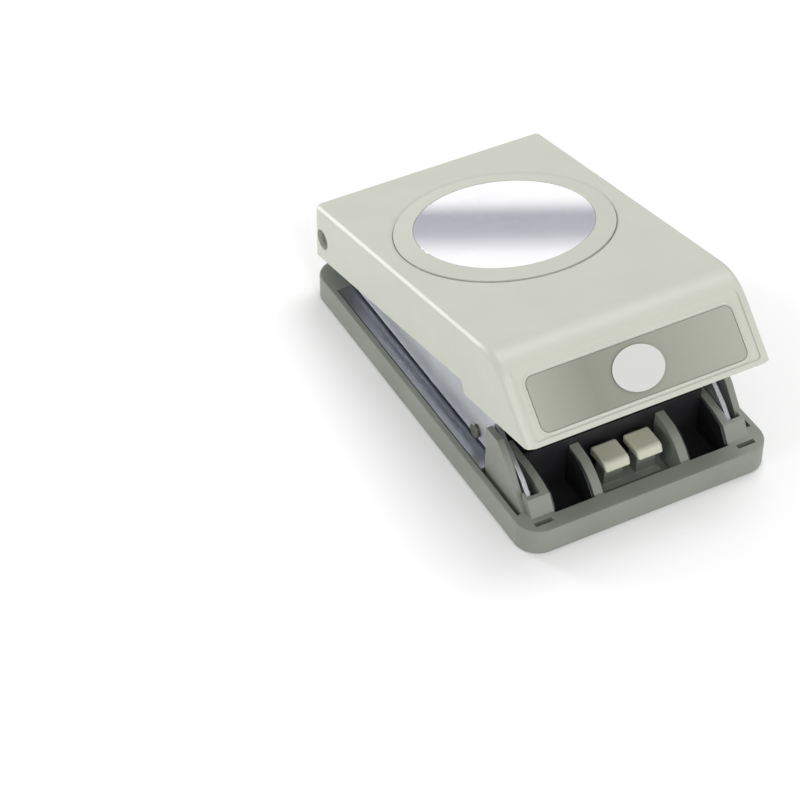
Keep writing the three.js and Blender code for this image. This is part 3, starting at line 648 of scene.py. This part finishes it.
def make_spring(number):
    """A wound spring with closed ends, as a tube along a helix."""
    node = f"return_spring_{number}"
    low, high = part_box(node)
    centre = (low + high) / 2
    wire, turns = SPRING_WIRE, SPRING_TURNS
    radius = (high.y - low.y) / 2 - wire
    bottom, top = low.z + wire, high.z - wire
    curve = bpy.data.curves.new(node + "_coil", "CURVE")
    curve.dimensions = "3D"
    curve.bevel_depth = wire
    curve.bevel_resolution = 3
    curve.use_fill_caps = True
    spline = curve.splines.new("POLY")
    count = 24 * turns
    spline.points.add(count)
    for i in range(count + 1):
        t = i / count
        rise = min(1, max(0, (t * turns - 0.75) / (turns - 1.5)))
        angle = 2 * pi * turns * t
        z = bottom + wire * 0.9 * min(1, t * turns) + (top - bottom - 1.8 * wire) * rise
        z += wire * 0.9 * max(0, t * turns - turns + 1)
        spline.points[i].co = (centre.x + radius * cos(angle), centre.y + radius * sin(angle), z, 1)
    coil = bpy.data.objects.new(node + "_coil", curve)
    bpy.context.scene.collection.objects.link(coil)
    graph = bpy.context.evaluated_depsgraph_get()
    mesh = bpy.data.meshes.new_from_object(coil.evaluated_get(graph))
    bpy.data.objects.remove(coil)
    spring = bpy.data.objects.new(node + "_wound", mesh)
    bpy.context.scene.collection.objects.link(spring)
    stand_in(smooth(spring), node)
    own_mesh(spring)
    return spring


def make_screw(node, shank, flush=False):
    """A pan-head screw with a cross recess, in the place of its CAD solid."""
    low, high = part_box(node)
    centre = (low + high) / 2
    head = (high.y - low.y) / 2
    tall = 0.9 * MM if flush else min(2 * MM, head * 0.77)
    top = high.z
    under = top - tall
    rounding = tall * 0.45
    profile = [(0, low.z), (shank * 0.8, low.z), (shank, low.z + 0.3 * MM), (shank, under), (head, under)]
    profile += [(head - rounding + rounding * cos(a), top - rounding + rounding * sin(a))
                for a in (pi / 8 * i for i in range(5))]
    profile += [(0, top)]
    thing = mesh_object(node + "_turned", lathe(profile, 40), Matrix.Translation((centre.x, centre.y, 0)))
    arm, slot = head * 0.55, head * 0.16
    for spin in (0, pi / 2):
        bar = box_bm(-arm, arm, -slot, slot, top - tall * 0.5, top + 1 * MM)
        place = Matrix.Translation((centre.x, centre.y, 0)) @ Matrix.Rotation(spin + 0.4, 4, "Z")
        boolean(thing, bar, "DIFFERENCE", place)
    return stand_in(smooth(thing, 30), node)


def make_mechanism():
    refined("base_tray", 0.45 * MM, 3, 30)
    for node in ("left_arm", "right_arm"):
        refined(node, 0.35 * MM, 3, 30)
    for node in ("die_plate", "guide_plate", "throat_spacer", "lock_retainer", "ram_plate"):
        refined(node, 0.2 * MM, 2, 40)
    refined("punch_cutter", 0.12 * MM, 2, 40)
    refined("punch_housing", 0.4 * MM, 3, 40)
    # the front liner is a black sheet standing in for the deep shade inside the base's pockets
    refined("front_liner", 0.25 * MM, 2, 40)
    refined("lock_slider", 0.3 * MM, 3, 40)
    refined("ram_pad", 0.3 * MM, 3, 30)
    for node in sorted(NODES):
        if node.startswith(("hinge_", "shaft_clip", "arm_pin", "frame_rivet")):
            refined(node, 0.18 * MM, 3, 40)
    for node in sorted(NODES):
        if node.startswith(("frame_screw", "ram_screw")):
            make_screw(node, 1.4 * MM)
        elif node.startswith("die_screw"):
            make_screw(node, 1.4 * MM, flush=True)
        elif node.startswith("retainer_screw"):
            make_screw(node, 0.75 * MM)
    for number in range(1, 5):
        make_spring(number)
    for side in ("left", "right"):
        make_hook(side)


# ---------- studio ----------

def camera_axes():
    back = Vector((sin(CAMERA_AZIMUTH) * cos(CAMERA_ELEVATION), -cos(CAMERA_AZIMUTH) * cos(CAMERA_ELEVATION),
                   sin(CAMERA_ELEVATION)))
    right = Vector((cos(CAMERA_AZIMUTH), sin(CAMERA_AZIMUTH), 0))
    return right, back.cross(right), back


def make_camera():
    right, up, back = camera_axes()
    data = bpy.data.cameras.new("camera")
    data.lens = CAMERA_LENS
    data.sensor_width = 36
    data.clip_end = 50
    camera = bpy.data.objects.new("camera", data)
    bpy.context.scene.collection.objects.link(camera)
    place = Matrix((right, up, back)).transposed().to_4x4()
    place.translation = CAMERA_TARGET + back * CAMERA_DISTANCE
    camera.matrix_world = place
    bpy.context.scene.camera = camera
    return camera


def area_light(name, place, target, size, power, colour=(1, 1, 1)):
    data = bpy.data.lights.new(name, "AREA")
    data.shape = "RECTANGLE"
    data.size, data.size_y = size
    data.energy = power
    data.color = colour
    light = bpy.data.objects.new(name, data)
    light.location = place
    light.rotation_euler = (Vector(target) - Vector(place)).to_track_quat("-Z", "Y").to_euler()
    bpy.context.scene.collection.objects.link(light)
    return light


def make_floor():
    bm = bmesh.new()
    bmesh.ops.create_grid(bm, x_segments=2, y_segments=2, size=6)
    floor = mesh_object("floor", bm)
    material, tree, shader = blank_material("floor_paper")
    clouds = noise(tree, object_coords(tree), 3)
    tint = ramp(tree, clouds, [(0.3, (0.90, 0.90, 0.90)), (0.7, (0.92, 0.92, 0.92))])
    tree.links.new(tint, shader.inputs["Base Color"])
    shader.inputs["Roughness"].default_value = 0.9
    floor.data.materials.append(material)


def make_reflector(camera):
    """A white studio card with a soft grey band, where the mirror disc looks from the camera."""
    low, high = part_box("indicator_disc")
    mirror = (low + high) / 2
    normal = Vector((0, sin(OPEN_TILT), cos(OPEN_TILT)))
    ray = (mirror - camera.location).normalized()
    away = ray.reflect(normal)
    right = camera_axes()[0].reflect(normal)
    up = (-away).cross(right).normalized()
    distance = 1.2
    bm = bmesh.new()
    bmesh.ops.create_grid(bm, x_segments=1, y_segments=1, size=0.5)
    card = mesh_object("reflector_card", bm)
    place = Matrix((right, up, -away)).transposed().to_4x4()
    place.translation = mirror + away * distance
    card.matrix_world = place
    card.scale = (1.0, 0.5, 1)
    material = bpy.data.materials.new("reflector_glow")
    material.use_nodes = True
    tree = material.node_tree
    tree.nodes.clear()
    split = tree.nodes.new("ShaderNodeSeparateXYZ")
    tree.links.new(object_coords(tree), split.inputs["Vector"])
    span = tree.nodes.new("ShaderNodeMapRange")
    span.inputs["From Min"].default_value = -0.089
    span.inputs["From Max"].default_value = 0.089
    tree.links.new(split.outputs["Y"], span.inputs["Value"])
    white = (1.05, 1.05, 1.05)
    glow = ramp(tree, span.outputs["Result"], [
        (0.0, white), (0.3, white), (0.42, (0.42, 0.42, 0.47)), (0.5, (0.47, 0.47, 0.51)),
        (0.6, (0.5, 0.5, 0.54)), (0.78, white)])
    emission = tree.nodes.new("ShaderNodeEmission")
    emission.inputs["Strength"].default_value = 1
    output = tree.nodes.new("ShaderNodeOutputMaterial")
    tree.links.new(glow, emission.inputs["Color"])
    tree.links.new(emission.outputs["Emission"], output.inputs["Surface"])
    card.data.materials.append(material)
    card.visible_camera = False
    card.visible_shadow = False
    card.visible_diffuse = False


def make_studio(camera):
    world = bpy.data.worlds.new("studio")
    world.use_nodes = True
    bpy.context.scene.world = world
    background = world.node_tree.nodes["Background"]
    background.inputs["Color"].default_value = (1, 1, 1, 1)
    background.inputs["Strength"].default_value = 0.62
    middle = Vector((0, 0, 0.03))
    area_light("top_softbox", middle + Vector((0.58, 0.42, 1.45)), middle, (0.9, 0.8), 9.5)
    area_light("left_softbox", middle + Vector((-0.93, -0.24, 0.28)), middle, (0.22, 0.22), 1.5)
    area_light("rear_strip", middle + Vector((-0.50, 0.84, 0.20)), middle, (0.18, 0.5), 3.8)
    area_light("front_key", middle + Vector((-0.10, -0.74, 0.68)), middle, (0.3, 0.3), 1.8)
    area_light("front_fill", middle + Vector((0.25, -0.95, 0.12)), middle, (0.6, 0.3), 2.4)
    make_floor()
    make_reflector(camera)
    bpy.context.scene.view_settings.view_transform = "Standard"


camera = make_camera()
make_studio(camera)
make_cover()
make_ring_insert()
make_mirror()
make_label()
make_mechanism()
